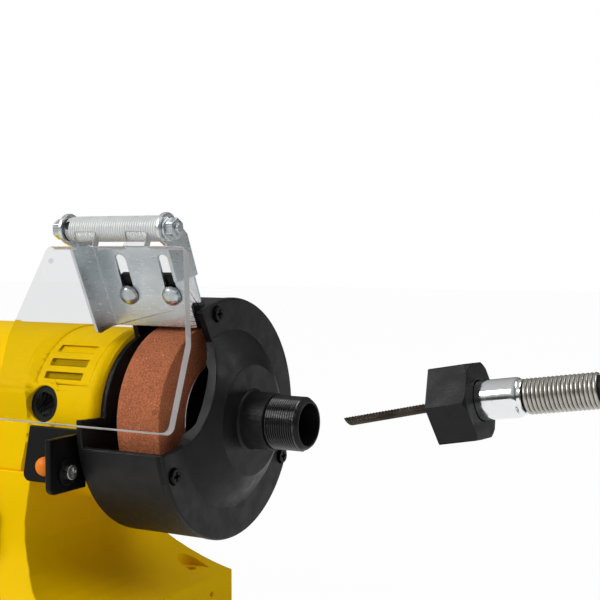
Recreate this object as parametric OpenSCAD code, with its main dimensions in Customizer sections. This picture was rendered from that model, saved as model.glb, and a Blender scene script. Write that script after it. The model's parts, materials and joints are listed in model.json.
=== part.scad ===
// Mini bench grinder with a 75 mm wheel and a flexible shaft outlet.
// X runs along the spindle towards the outlet, -Y is the operator's side, Z is up.
// The origin is the middle of the base's bolt pattern, on the bench.

/* [Base] */
// How far the foot's ends stand out beyond the mounting holes
end_margin = 13.8; // [13:0.1:16]
// How far the foot's front and back stand out beyond the mounting holes
edge_margin = 14; // [14:0.5:18]
// Height of the foot's straight edge
foot_h = 16.3; // [16:0.1:18]
// Distance between the mounting holes along X
bolt_span_x = 110; // [108:1:120]
// Distance between the mounting holes along Y
bolt_span_y = 84; // [80:1:90]
// Radius of the mounting holes
bolt_hole_r = 2.75; // [2.2:0.05:3.2]

/* [Motor housing] */
// Height of the spindle above the bench
axis_z = 95; // [94:1:105]
// Length of the motor housing
body_len = 130; // [128:1:140]
// Radius of the round end bells
bell_r = 37.5; // [37:0.1:38]
// Length of the square middle block
block_len = 53; // [46:1:56]
// Half width of the square middle block
block_half = 38.6; // [38:0.1:39]
// Radius of the middle block's corners
block_corner = 21; // [18:0.5:24]
// Wall thickness of the housing
wall = 3; // [2.4:0.1:3.2]
// How far the seam lies below the spindle
seam_drop = 22; // [20:1:23]

/* [Spindle and wheels] */
// Radius of the spindle
spindle_r = 5; // [4.5:0.1:5.5]
// Radius of the grinding wheel
wheel_r = 37.5; // [35:0.1:38]
// Width of the grinding wheel
wheel_w = 20; // [16:1:20]
// Radius of the polishing wheel
polish_r = 37.5; // [30:0.5:40]
// Width of the polishing wheel
polish_w = 20; // [14:1:24]
// Radius of the outer flange's rim
flange_r = 22.4; // [20:0.1:24]

/* [Guard] */
// Radius of the guard's drum
guard_r = 48; // [47:0.1:48.5]
// Length of the guard's drum
guard_len = 37; // [37:1:40]
// Wall thickness of the guard
guard_wall = 2.5; // [2:0.1:3]
// How far the cover's edge stands out over the drum
cover_lip = 0.2; // [0:0.1:1]
// Thickness of the cover
cover_t = 3; // [2.6:0.1:3.5]
// Radius of the foot of the cover's dome
dome_r = 34.4; // [33.6:0.1:36]
// Radius of the dome's flat top
crest_r = 22; // [20:0.5:24]
// Height of the dome
dome_h = 9.4; // [8.4:0.1:11]
// Length of the outlet nozzle beyond the dome
nozzle_len = 25.4; // [22:0.1:28]
// Outer radius of the nozzle's thread
thread_r = 10.6; // [10.2:0.1:11]
// Radius of the nozzle's bore
nozzle_bore_r = 8.2; // [7.5:0.1:8.4]

/* [Work rest bracket] */
// Length of the wing in front of the motor housing
rest_wing = 30.4; // [27:0.1:31]
// Reach of the arm towards the operator
rest_arm = 18.7; // [17:0.1:22]
// Height of the bracket
rest_h = 21.2; // [20:0.1:22]
// Radius of the orange knob
rest_knob_r = 3.8; // [3.5:0.1:5]

/* [Eye shield] */
// Width of the bracket's slots
slot_w = 5.2; // [5:0.1:5.6]
// Thickness of the bracket's sheet
sheet_t = 1.5; // [1.2:0.1:1.6]
// Thickness of the eye shield
shield_t = 3.5; // [2.5:0.1:3.6]
// Height of the eye shield along its slope
shield_h = 67.8; // [60:0.1:72]
// Width of the eye shield's top edge
shield_top_w = 64.4; // [58:0.2:68]
// Width of the eye shield's bottom edge
shield_low_w = 81.2; // [78:0.2:86]
// Radius of the ribbed hinge tube
hinge_tube_r = 4.6; // [4:0.1:4.8]

/* [Flexible shaft] */
// Width of the union nut across its flats
nut_flats = 27.2; // [25.6:0.2:29]
// Length of the union nut
nut_len = 15.3; // [14.8:0.1:18]
// Length of the core that stands out of the nut
core_out = 39.5; // [34:0.5:42]
// Side of the square wire core
core_side = 2.6; // [2.2:0.1:2.8]
// Radius of the chrome ferrule
ferrule_r = 7.2; // [6.8:0.05:7.3]
// Outer radius of the bend spring
spring_r = 6.4; // [6:0.05:6.6]
// Radius of the black sheath
sheath_r = 5.2; // [5:0.05:5.3]
// Radius of the handpiece's grip
grip_r = 11; // [9:0.5:11]

/* [Hidden] */
$fn = 48;
// Radial clearance of shafts that turn in a bore
fit = 0.05;
// Radial clearance of pieces that are pressed or screwed in
snug = 0.02;
// Gap between pieces that pass each other
gap = 0.3;
// A small overlap for cuts and joins
eps = 0.01;

// Yellow plastic, black plastic and the metals
yellow = [0.95, 0.76, 0.02];
black = [0.12, 0.12, 0.12];
zinc = [0.72, 0.75, 0.75];
steel = [0.6, 0.6, 0.62];
copper = [0.72, 0.4, 0.2];
orange = [0.95, 0.5, 0.05];
clear = [0.85, 0.9, 0.92, 0.5];

// Base
base_len = bolt_span_x + 2 * end_margin;
base_depth = bolt_span_y + 2 * edge_margin;
seam_z = axis_z - seam_drop;
foot_lift = 1.5;
plate_z = 2;
plate_t = 1.5;
plate_gap = 0.4;
boss_r = 9.5;
pocket_r = 5.5;
pocket_z = 18.2;
end_hole = [39.2, 8.6];
chamber_top = seam_z - 17;
depth_wall = 4;
side_curve = [[33, 62], [24.9, 29.9], [56.4, 19.6], [base_len / 2, foot_h]];
depth_curve = [[39.7, seam_z], [39.3, 25.5], [44.9, 40], [base_depth / 2, foot_h]];
waist_top = 35;
post_x = 20;
post_y = 33;
post_screw_r = 1.75;
post_head_r = 3.2;
post_seat_z = seam_z - 14;
gland_r = 4.6;
gland_bore_r = 3.2;
gland_x = -38;
gland_z = 10.2;

// Control panel on the front of the base
panel_x = -7.5;
panel_z = 48;
panel_w = 48;
panel_h = 20;
panel_back = -40.3;
panel_front = -44.6;
switch_x = -19;
switch_w = 19.4;
switch_h = 13.2;
switch_back = -29;
rocker_y = -41.5;
rocker_tilt = 11;
dial_x = 6;
dial_r = 8.5;
dial_stem_r = 3;
bush_r = 4;

// Motor
cavity_r = bell_r - wall;
cavity_x = body_len / 2 - wall;
soft_edge = 3.6;
band_in = 33;
band_out = 60;
neck_r = 9;
bearing_r = 13;
bearing_w = 8;
bearing_x = cavity_x - 2 - bearing_w;
stator_half = 20;
yoke_r = 28;
armature_half = 18;
armature_r = 17;
commutator_r = 10;
brush_x = body_len / 2 - 26;
brush_tilt = 9;
brush_r = 3.5;
cap_r = 5;
cap_top = 35.6;
holder_r = 7.3;
cap_ring_r = 9.8;
hub_r = 7.5;

// Places along the spindle
guard_x = body_len / 2;
cover_x = guard_x + guard_len;
cover_face = cover_x + cover_t;
crest_x = cover_face + dome_h;
nozzle_end = crest_x + nozzle_len;
blotter_t = 0.4;
flange_t = 3.1;
nut_t = 5;
bolt_r = 4;
wheel_x = guard_x + 11;
flange_x = wheel_x + wheel_w + blotter_t;
spindle_right = crest_x + 3;
polish_x = -body_len / 2 - 13;
polish_flange_x = polish_x - polish_w;
spindle_left = polish_flange_x - 14;

// Front opening of the guard as Y and Z from the spindle's axis
opening = [[-37.5, 70], [-14.7, 31.5], [-29.4, -0.1], [-31.5, -3.6], [-34, -6.3], [-39, -7.5],
    [-47.2, -8.3], [-80, -13], [-80, 70]];
sector = [109, 190];
left_wall_r = 33.5;
left_wall_end = 177;
thread_start = crest_x + 10.9;
cover_screw_ring = 43.6;
cover_screw_at = [104.5, 202.4, 331.5];
cover_screw_r = 1.5;
guard_screw_ring = 22;
guard_screw_at = [30, 210, 330];

// Bracket plate of the eye shield: its lower edge above the wheel, and its lean
plate_foot = [-13.35, 37.27];
plate_lean = 24.2;
plate_len = 34.5;
plate_left = guard_x - 6.5;
bracket_w = 44;
notch = [4.5, 11];
lug_len = 21.8;
lug_low = 7;
lug_t = 3;
lug_x = [guard_x + 1, guard_x + 31];
bracket_bolt_r = 2.4;
bracket_bolt_up = 14.1;
bracket_bolt_x = [guard_x + 5, guard_x + 25.6];
slot_up = [bracket_bolt_up - 0.2, 28.7];

// Hinge of the eye shield, from the spindle's axis
hinge = [-42, 75];
hinge_bolt_r = 2;
ear_r = 6;
shield_tilt = 19.55;
shield_back = -0.5;
shield_top = -8.2;
shield_mid = guard_x + 18.7;
tab_x = [guard_x - 1, guard_x + 23];
tab_w = 10;

// Work rest bracket
rest_x = guard_x - 2;
rest_t = 2.6;
wing_t = 2;
wing_y = -41.8;
rest_top = axis_z - 3.6;
knob_x = rest_x - 18.2;
knob_z = axis_z - 17.9;
knob_stem_r = 2;
rest_screw_y = -51.2;
rest_screw_z = axis_z - 16.9;
rest_screw_r = 2;
rest_washer_t = 1;

// Flexible shaft: mouth of the union nut, tilts of the nut, the ferrule and the loose core,
// and how far from the mouth the ferrule crosses the nut's axis
flex_mouth = [194.6, 0, 105.9];
flex_tilt = 10.5;
ferrule_tilt = 8.2;
core_tilt = 12.7;
core_in = 22;
ferrule_seat = 13.8;
nut_play = 0.6;
collar = [8.5, 11.7];
ferrule_end = 32;
spring_end = 57.6;
core_bore_r = 3.2;
// Middle line of the sheath from the ferrule down to the coil
sheath_route = [
    [226.3, 0, 111], [239, 0, 112.8], [251.5, 0, 114.65], [256.5, 0, 115.4], [266.5, 0, 116.3],
    [276.5, 0.3, 115], [286, 1.2, 111.5], [294.5, 3, 106], [301, 6, 99], [305.5, 10.5, 90.5],
    [308, 16, 81], [309.5, 22.5, 67.5], [310.5, 28.5, 54], [312.5, 34, 41], [317, 38.5, 29.5],
    [325, 41.5, 19.5], [335, 42.7, 11.5], [346, 43, 7], [358, 43, 5.4]];
// Two turns side by side on the bench
coil_at = [358, -10];
coil_turns = [53, 66];
// Middle line of the sheath from the coil up onto it and into the handpiece
tail_route = [
    [358, -76, 5.4], [343, -76, 5.4], [328, -76, 5.4], [312, -72.8, 5.7], [298.7, -63.8, 7],
    [289.7, -50.4, 9.4], [286.5, -34.5, 12.4], [289.7, -18.6, 15.4], [298.7, -5.2, 17.6],
    [312, 3.8, 19.8], [322, 6.6, 21], [328, 7, 21.4]];
handpiece_at = [328, 7, 21.4];
grip_len = 92;
nose_len = 14;
collet_len = 15;

// ---- shared shapes ----

// Places a shape whose own Z runs along the spindle
module along_x(x) {
    translate([x, 0, axis_z]) rotate([0, 90, 0]) children();
}

// A round bar on the spindle's axis from x0 to x1
module rod(x0, x1, r) {
    along_x(x0) cylinder(h = x1 - x0, r = r);
}

// A ring on the spindle's axis
module ring(x0, x1, outer, inner) {
    difference() {
        rod(x0, x1, outer);
        rod(x0 - eps, x1 + eps, inner);
    }
}

// Revolves points given as [x, radius] about the spindle's axis
module turned(points) {
    along_x(0) rotate_extrude() polygon([for (p = points) [p[1], p[0]]]);
}

// Y and Z from the spindle's axis in the plane that along_x extrudes
function yz(p) = [-p[1], p[0]];
function polar(a, r) = [r * cos(a), r * sin(a)];

// Point of a cubic curve through four handles
function curve(p, t) =
    pow(1 - t, 3) * p[0] + 3 * t * pow(1 - t, 2) * p[1] + 3 * t * t * (1 - t) * p[2] + t * t * t * p[3];

// Places a shape at each of the four mounting holes
module at_base_bolts() {
    for (sx = [-1, 1])
        for (sy = [-1, 1])
            translate([sx * bolt_span_x / 2, sy * bolt_span_y / 2, 0]) children();
}

// Places a shape on the outward axis of each brush
module at_brushes() {
    for (side = [90, 270])
        translate([brush_x, 0, axis_z]) rotate([side - brush_tilt, 0, 0]) children();
}

// A pan-head cross screw along Z: head on top of z = 0, shank below
module screw(shank_r, shank_len, head_r, head_h) {
    arm = head_r * 0.6;
    difference() {
        union() {
            cylinder(h = head_h, r = head_r, $fn = 24);
            translate([0, 0, -shank_len]) cylinder(h = shank_len + eps, r = shank_r, $fn = 20);
        }
        for (a = [0, 90])
            rotate(a) translate([-arm, -arm / 4, head_h * 0.45]) cube([2 * arm, arm / 2, head_h]);
    }
}

// A hexagon nut or head along Z
module hexagon(flats, h) {
    cylinder(h = h, r = flats / sqrt(3), $fn = 6);
}

// A round bar along +Y
module bar_y(x, y, z, len, r) {
    translate([x, y, z]) rotate([-90, 0, 0]) cylinder(h = len, r = r);
}

// ---- motor housing ----

// Half outline of the base block, pulled in by a wall
function half_outline(top, handles, inset) =
    concat([[top - inset, handles[0][1] < seam_z ? seam_z : seam_z + 5]],
        [for (k = [0:10]) curve(handles, k / 10) - [inset, 0]], [[handles[3][0] - inset, -1]]);

function mirrored(points) =
    concat(points, [for (k = [len(points) - 1:-1:0]) [-points[k][0], points[k][1]]]);

// Block under the motor, from its front outline and its end outline
module pedestal(side_wall, end_wall) {
    intersection() {
        translate([0, base_depth, 0]) rotate([90, 0, 0]) linear_extrude(2 * base_depth)
            polygon(mirrored(half_outline(waist_top, side_curve, side_wall)));
        translate([-base_len, 0, 0]) rotate([90, 0, 90]) linear_extrude(2 * base_len)
            polygon(mirrored(half_outline(depth_curve[0][0], depth_curve, end_wall)));
    }
}

// Square bar with rounded corners along the spindle
module block(half, length, radius) {
    along_x(-length / 2) linear_extrude(length) union() {
        square([2 * (half - radius), 2 * half], center = true);
        square([2 * half, 2 * (half - radius)], center = true);
        for (sx = [-1, 1])
            for (sy = [-1, 1])
                translate([sx, sy] * (half - radius)) circle(r = radius);
    }
}

// Outside of the motor part: bells with soft ends, the block and the cones between them
module motor_outside() {
    end = body_len / 2;
    edge = [for (k = [0:5]) [soft_edge * (1 - cos(k * 18)), soft_edge * (1 - sin(k * 18))]];
    corner = (block_half - block_corner) * sqrt(2) + block_corner;
    turned(concat([[-end, 0]], [for (p = edge) [-end + p[0], bell_r - p[1]]],
        [for (k = [5:-1:0]) [end - edge[k][0], bell_r - edge[k][1]]], [[end, 0]]));
    intersection() {
        block(block_half, 2 * band_in, block_corner);
        turned([[-band_in, 0], [-band_in, bell_r], [-block_len / 2, corner], [block_len / 2, corner],
            [band_in, bell_r], [band_in, 0]]);
    }
}

// Inside of the motor part
module motor_inside() {
    rod(-cavity_x, cavity_x, cavity_r);
    rod(-body_len / 2 - eps, body_len / 2 + eps, neck_r);
}

// Three louvres on the front and the back of each bell
module vent_slots() {
    depth = 2;
    for (end = [-1, 1])
        for (side = [-1, 1])
            for (rise = [18.1, 23.4, 28.7])
                intersection() {
                    translate([end * 45.8, side * bell_r / 2, axis_z + rise])
                        cube([18.7, bell_r, 2.8], center = true);
                    ring(end * 46 - 12, end * 46 + 12, bell_r + 2, bell_r - depth);
                }
}

// Shallow step of the bells above their middle
module bell_bands() {
    for (end = [-1, 1])
        intersection() {
            ring(min(end * band_in, end * band_out), max(end * band_in, end * band_out),
                bell_r + 2, bell_r - 0.4);
            translate([-body_len, -bell_r * 2, axis_z + 14]) cube([2 * body_len, 4 * bell_r, 2 * bell_r]);
        }
}

module housing_top() {
    color(yellow) difference() {
        union() {
            intersection() {
                union() {
                    difference() {
                        motor_outside();
                        bell_bands();
                    }
                    wing_boss();
                    rod(-body_len / 2 - 4, -body_len / 2 + eps, 14);
                }
                translate([-body_len, -base_depth, seam_z]) cube([2 * body_len, 2 * base_depth, base_depth]);
            }
            at_brushes() translate([0, 0, cavity_r - 1]) cylinder(h = bell_r - cavity_r + 0.5, r = cap_ring_r);
        }
        motor_inside();
        rod(-body_len / 2 - 5, -body_len / 2, neck_r);
        at_brushes() translate([0, 0, cavity_r - 3]) cylinder(h = 20, r = holder_r);
        vent_slots();
        bar_y(knob_x, wing_y, knob_z, 18, knob_stem_r + fit);
        housing_screw_holes();
        guard_screw_holes();
    }
}

// Boss on the right bell that carries the rest bracket's wing
module wing_boss() {
    bar_y(knob_x, wing_y + wing_t, knob_z, 12, 5);
}

module housing_screw_holes() {
    for (sx = [-1, 1])
        for (sy = [-1, 1])
            translate([sx * post_x, sy * post_y, 0]) {
                translate([0, 0, post_seat_z - 1]) cylinder(h = 22, r = post_screw_r + snug);
                translate([0, 0, chamber_top - 1])
                    cylinder(h = post_seat_z - chamber_top + 1, r = post_head_r + gap);
            }
}

module guard_screw_holes() {
    for (a = guard_screw_at)
        along_x(guard_x - 6) translate(yz(polar(a, guard_screw_ring))) cylinder(h = 6.5, r = 1.5 + snug);
}

module housing_base() {
    color(yellow) difference() {
        intersection() {
            union() {
                motor_outside();
                pedestal(0, 0);
            }
            translate([-body_len, -base_depth, foot_lift])
                cube([2 * body_len, 2 * base_depth, seam_z - foot_lift]);
        }
        motor_inside();
        difference() {
            intersection() {
                pedestal(wall, depth_wall);
                translate([-base_len, -base_depth, -1]) cube([2 * base_len, 2 * base_depth, chamber_top + 1]);
            }
            at_base_bolts() translate([0, 0, plate_z + plate_t]) cylinder(h = seam_z, r = boss_r);
            bar_y(gland_x, 30, gland_z, 30, gland_r + 2);
        }
        translate([-15, -10, chamber_top - 5]) cube([30, 20, 20]);
        for (end = [0, 180])
            rotate(end) foot_pockets();
        at_base_bolts() cylinder(h = 30, r = bolt_hole_r);
        for (end = [-1, 1])
            bar_end_hole(end);
        bar_y(gland_x, 30, gland_z, 30, gland_r + snug);
        translate([panel_x, panel_back - 10, panel_z])
            cube([panel_w + 2 * snug, 20, panel_h + 2 * snug], center = true);
        translate([switch_x, panel_back, panel_z])
            cube([switch_w + 2 * snug, 30, switch_h + 2 * snug], center = true);
        bar_y(dial_x, panel_front, panel_z, 20, bush_r + snug);
        housing_screw_holes();
    }
}

// Troughs above the mounting holes of one end, which run out of the foot's slope
module foot_pockets() {
    for (sy = [-1, 1])
        translate([bolt_span_x / 2, sy * bolt_span_y / 2, pocket_z]) {
            cylinder(h = seam_z, r = pocket_r);
            translate([0, -pocket_r, 0]) cube([end_margin + 1, 2 * pocket_r, seam_z]);
        }
}

// Small blind hole in the foot's end face, on the rear side
module bar_end_hole(end) {
    translate([end * (base_len / 2 + 1), end_hole[0], end_hole[1]]) rotate([0, -90 * end, 0])
        cylinder(h = 3, r = 1.3, $fn = 20);
}

module base_plate() {
    edge = wall + plate_gap;
    color(steel) difference() {
        translate([-base_len / 2 + edge, -base_depth / 2 + depth_wall + plate_gap, plate_z])
            cube([base_len - 2 * edge, base_depth - 2 * (depth_wall + plate_gap), plate_t]);
        at_base_bolts() cylinder(h = 10, r = bolt_hole_r);
    }
}

module feet() {
    color(black) at_base_bolts() difference() {
        cylinder(h = plate_z, r = 8);
        translate([0, 0, -1]) cylinder(h = 10, r = bolt_hole_r);
    }
}

module housing_screws() {
    color(steel) for (sx = [-1, 1])
        for (sy = [-1, 1])
            translate([sx * post_x, sy * post_y, post_seat_z]) rotate([180, 0, 0])
                screw(post_screw_r, 20, post_head_r, 2.2);
}

module cable_gland() {
    color(black) difference() {
        union() {
            bar_y(gland_x, base_depth / 2 - depth_wall - 2, gland_z, depth_wall + 2.5, gland_r);
            bar_y(gland_x, base_depth / 2, gland_z, 3, gland_r + 1.4);
        }
        bar_y(gland_x, 30, gland_z, 40, gland_bore_r);
    }
}

// ---- controls ----

module control_panel() {
    depth = panel_back - panel_front;
    color(black) difference() {
        translate([panel_x - panel_w / 2, panel_front, panel_z - panel_h / 2])
            cube([panel_w, depth, panel_h]);
        translate([switch_x, panel_back, panel_z])
            cube([switch_w + 2 * snug, 30, switch_h + 2 * snug], center = true);
        bar_y(dial_x, panel_front - 1, panel_z, 20, bush_r + snug);
    }
}

module switch_body() {
    window = [16, 10.4];
    color(black) difference() {
        union() {
            translate([switch_x - switch_w / 2, panel_front - 1, panel_z - switch_h / 2])
                cube([switch_w, switch_back - panel_front + 1, switch_h]);
            translate([switch_x - switch_w / 2 - 1, panel_front - 1.4, panel_z - switch_h / 2 - 1])
                cube([switch_w + 2, 1.4, switch_h + 2]);
        }
        translate([switch_x - window[0] / 2, panel_front - 5, panel_z - window[1] / 2])
            cube([window[0], 16, window[1]]);
        translate([switch_x, rocker_y, panel_z]) cylinder(h = switch_h - 1, r = 1 + fit, center = true);
    }
}

module rocker() {
    color([0.7, 0.08, 0.05]) translate([switch_x, rocker_y, panel_z]) rotate(-rocker_tilt) {
        translate([0, 0, -4.8]) linear_extrude(9.6)
            polygon([[-6.7, -5.6], [0, -4.8], [6.7, -5.6], [7, -1], [3, 2.4], [-3, 2.4], [-7, -1]]);
        cylinder(h = 11.4, r = 1, center = true);
    }
}

module speed_dial() {
    color(black) difference() {
        union() {
            bar_y(dial_x, panel_front - gap - 5.5, panel_z, 5.5, dial_r);
            bar_y(dial_x, panel_front - gap - 1, panel_z, 11, dial_stem_r);
        }
        for (a = [0:30:330])
            translate([dial_x, panel_front - 3, panel_z]) rotate([0, a, 0]) translate([dial_r + 0.6, 0, 0])
                rotate([90, 0, 0]) cylinder(h = 12, r = 1.1, center = true, $fn = 16);
        translate([dial_x - 0.4, panel_front - gap - 6, panel_z + 3]) cube([0.8, 1, 4]);
    }
}

module dial_pot() {
    color(steel) difference() {
        union() {
            bar_y(dial_x, panel_front, panel_z, switch_back - panel_front, bush_r);
            bar_y(dial_x, -36, panel_z, switch_back + 36, 8);
        }
        bar_y(dial_x, panel_front - 1, panel_z, 12, dial_stem_r + fit);
    }
}

module control_board() {
    color([0.05, 0.35, 0.15]) {
        translate([-28.5, switch_back, panel_z - 15]) cube([46, 1.6, 22]);
        translate([-12, switch_back + 1.5, panel_z - 11]) cube([14, 11, 9]);
        bar_y(-22, switch_back + 1.5, panel_z - 5, 14, 5);
    }
}

// ---- motor ----

// The two pole pieces of the stator, above and below the armature
module poles(inner, outer, half) {
    intersection() {
        ring(-half, half, outer, inner);
        for (side = [0, 180])
            along_x(-half - 1) rotate(side) linear_extrude(2 * half + 2)
                polygon([[0, 0], [outer + 8, -outer - 8], [outer + 8, outer + 8]]);
    }
}

module stator_core() {
    color([0.45, 0.46, 0.48]) union() {
        ring(-stator_half, stator_half, cavity_r - snug, yoke_r);
        poles(armature_r + 0.8, yoke_r + 0.5, stator_half);
    }
}

module field_coils() {
    over = 5;
    color(copper) difference() {
        ring(-stator_half - over, stator_half + over, yoke_r - 0.2, armature_r + 3.5);
        poles(armature_r, 30, stator_half + 0.2);
    }
}

module end_brackets() {
    color(zinc) for (end = [0, 180])
        rotate(end) difference() {
            union() {
                rod(bearing_x - 1, cavity_x, bearing_r + 2.5);
                rod(cavity_x - 2, cavity_x, cavity_r - snug);
            }
            rod(bearing_x - 2, bearing_x + bearing_w, bearing_r + snug);
            rod(bearing_x, cavity_x + 1, neck_r);
            for (a = [45:90:315])
                along_x(cavity_x - 3) translate(polar(a, 25)) cylinder(h = 4, r = 4);
            for (a = guard_screw_at)
                along_x(cavity_x - 3) translate(yz(polar(end == 0 ? a : a, guard_screw_ring)))
                    cylinder(h = 4, r = 1.5 + snug);
        }
}

module bearings() {
    color(steel) for (end = [0, 180])
        rotate(end) difference() {
            rod(bearing_x, bearing_x + bearing_w, bearing_r);
            rod(bearing_x - 1, bearing_x + bearing_w + 1, spindle_r + fit);
            for (side = [-eps, bearing_w - 0.6])
                ring(bearing_x + side, bearing_x + side + 0.6 + eps, bearing_r - 2, spindle_r + 2);
        }
}

module brush_holders() {
    color(black) at_brushes() difference() {
        union() {
            translate([0, 0, 12]) cylinder(h = 24, r = 5);
            translate([0, 0, cavity_r - 3]) cylinder(h = 4.4, r = holder_r - snug);
        }
        cylinder(h = 40, r = brush_r + snug);
        translate([0, 0, 31]) cylinder(h = 10, r = cap_r - 0.6);
    }
}

module brushes() {
    color([0.2, 0.2, 0.2]) at_brushes() translate([0, 0, commutator_r + gap]) cylinder(h = 12, r = brush_r);
}

module brush_springs() {
    color(steel) at_brushes() translate([0, 0, commutator_r + gap + 12]) difference() {
        cylinder(h = 28.5 - commutator_r - gap - 12, r = brush_r - 0.3);
        translate([0, 0, -1]) cylinder(h = 30, r = brush_r - 1.2);
    }
}

module brush_caps() {
    color(black) at_brushes() difference() {
        union() {
            translate([0, 0, 28.5]) cylinder(h = 3, r = brush_r);
            translate([0, 0, 31]) cylinder(h = cap_top - 31, r = cap_r - 0.6 - snug);
        }
        translate([-5, -0.6, cap_top - 1.4]) cube([10, 1.2, 3]);
    }
}

// ---- rotor ----

module spindle() {
    socket = 3.2;
    color(steel) difference() {
        union() {
            rod(polish_flange_x - 3, flange_x + 0.5, spindle_r);
            rod(spindle_left, polish_flange_x, bolt_r);
            rod(flange_x, spindle_right, bolt_r);
            rod(-armature_half - 6, armature_half + 6, spindle_r + 1);
        }
        translate([spindle_right - 12, -socket / 2, axis_z - socket / 2]) cube([20, socket, socket]);
    }
}

module armature_core() {
    color([0.4, 0.41, 0.43]) difference() {
        ring(-armature_half, armature_half, armature_r, spindle_r + 1 + snug);
        for (a = [0:30:330])
            along_x(-armature_half - 1) rotate(a) translate([armature_r - 3.2, 0, 0])
                cylinder(h = 2 * armature_half + 2, r = 1.9, $fn = 20);
    }
}

module armature_windings() {
    color(copper) {
        for (end = [0, 180])
            rotate(end) ring(armature_half, armature_half + 5, armature_r - 1, spindle_r + 1 + snug);
        for (a = [0:30:330])
            along_x(-armature_half - eps) rotate(a) translate([armature_r - 3.2, 0, 0])
                cylinder(h = 2 * armature_half + 2 * eps, r = 1.8, $fn = 20);
    }
}

module commutator() {
    color(copper) difference() {
        ring(brush_x - 7, brush_x + 7, commutator_r, spindle_r + snug);
        for (a = [0:30:330])
            along_x(brush_x - 8) rotate(a) translate([commutator_r, 0, 7.5]) cube([1.4, 0.6, 17], center = true);
    }
}

module fan() {
    hub_x = -42;
    color(black) {
        ring(hub_x, hub_x + 10, spindle_r + 4, spindle_r + snug);
        ring(hub_x, hub_x + 1.5, 27, spindle_r + 3);
        for (a = [0:40:320])
            along_x(hub_x + 1) rotate(a) translate([spindle_r + 3.6, -0.7, 0]) cube([18, 1.4, 8]);
    }
}

module inner_flange(face, thickness, end) {
    // end is 1 on the right and -1 on the left
    back = bearing_x + bearing_w + 0.4;
    hub = end > 0 ? [back, face] : [face, -back];
    disc = end > 0 ? [face - thickness, face] : [face, face + thickness];
    color(steel) difference() {
        union() {
            rod(hub[0], hub[1], hub_r);
            rod(disc[0], disc[1], 20);
        }
        rod(min(hub[0], disc[0]) - 1, max(hub[1], disc[1]) + 1, spindle_r + snug);
    }
}

module inner_flange_right() {
    inner_flange(wheel_x - blotter_t, 3, 1);
}

module inner_flange_left() {
    inner_flange(polish_x, 3, -1);
}

module grinding_wheel() {
    color([0.55, 0.29, 0.18]) ring(wheel_x, wheel_x + wheel_w, wheel_r, spindle_r + snug);
}

module blotters() {
    color([0.75, 0.72, 0.62]) {
        ring(wheel_x - blotter_t, wheel_x, 19.5, spindle_r + snug);
        ring(wheel_x + wheel_w, wheel_x + wheel_w + blotter_t, flange_r - 1, spindle_r + snug);
    }
}

module outer_flange_right() {
    floor_t = 0.8;
    color(steel) difference() {
        rod(flange_x, flange_x + flange_t, flange_r);
        ring(flange_x + floor_t, flange_x + flange_t + 1, flange_r - 1, 9);
        rod(flange_x - 1, flange_x + 0.6, spindle_r + snug);
        rod(flange_x - 1, flange_x + flange_t + 1, bolt_r + snug);
    }
}

module spindle_nut_right() {
    color(steel) difference() {
        along_x(flange_x + flange_t) hexagon(13, nut_t);
        rod(flange_x, flange_x + 20, bolt_r + snug);
    }
}

module polishing_wheel() {
    soft = 2;
    color([0.93, 0.92, 0.88]) difference() {
        turned([[polish_x, 0], [polish_x, polish_r - soft], [polish_x - soft, polish_r],
            [polish_flange_x + soft, polish_r], [polish_flange_x, polish_r - soft], [polish_flange_x, 0]]);
        rod(polish_flange_x - 1, polish_x + 1, spindle_r + snug);
    }
}

module outer_flange_left() {
    color(steel) difference() {
        rod(polish_flange_x - 3, polish_flange_x, 20);
        rod(polish_flange_x - 4, polish_flange_x + 1, spindle_r + snug);
        ring(polish_flange_x - 4, polish_flange_x - 2, 18.5, 9);
    }
}

module spindle_nut_left() {
    color(steel) difference() {
        along_x(polish_flange_x - 3 - nut_t) hexagon(13, nut_t);
        rod(polish_flange_x - 12, polish_flange_x, bolt_r + snug);
    }
}

// ---- guard ----

// Wedge of the front opening from x0 to x1 and from angle a to b, beyond a radius from the axis
module front_wedge(x0, x1, a, b, inner) {
    difference() {
        along_x(x0) linear_extrude(x1 - x0)
            polygon([yz([0, 0]), yz(polar(a, 80)), yz(polar((a + b) / 2, 100)), yz(polar(b, 80))]);
        rod(x0 - 1, x1 + 1, inner);
    }
}

module guard_drum() {
    color(black) difference() {
        union() {
            difference() {
                union() {
                    ring(guard_x, cover_x, guard_r, guard_r - guard_wall);
                    rod(guard_x, guard_x + guard_wall, guard_r - 1);
                }
                front_wedge(guard_x - 1, guard_x + guard_wall + eps, sector[0], left_wall_end, left_wall_r);
                front_wedge(guard_x + guard_wall, cover_x + 1, sector[0], sector[1], wheel_r);
            }
            for (a = cover_screw_at)
                intersection() {
                    along_x(cover_x - 12) translate(yz(polar(a, cover_screw_ring))) cylinder(h = 12, r = 3.6);
                    rod(guard_x, cover_x, guard_r - 0.5);
                }
            on_plate() {
                translate([lug_x[0], gap, 0]) cube([lug_x[1] - lug_x[0], lug_t, lug_len]);
                translate([lug_x[0], gap, 0]) cube([cover_x - lug_x[0] - eps, lug_t, lug_low]);
            }
        }
        rod(guard_x - 1, guard_x + guard_wall + 1, neck_r);
        rod(guard_x + guard_wall, cover_x + 1, wheel_r + 1.6);
        for (a = cover_screw_at)
            along_x(cover_x - 10) translate(yz(polar(a, cover_screw_ring))) cylinder(h = 11, r = cover_screw_r + snug);
        for (a = guard_screw_at)
            along_x(guard_x - 1) translate(yz(polar(a, guard_screw_ring))) cylinder(h = 5, r = 1.5 + snug);
        on_plate() for (x = bracket_bolt_x)
            bar_y(x, -1, bracket_bolt_up, 6, bracket_bolt_r + snug);
    }
}

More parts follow.
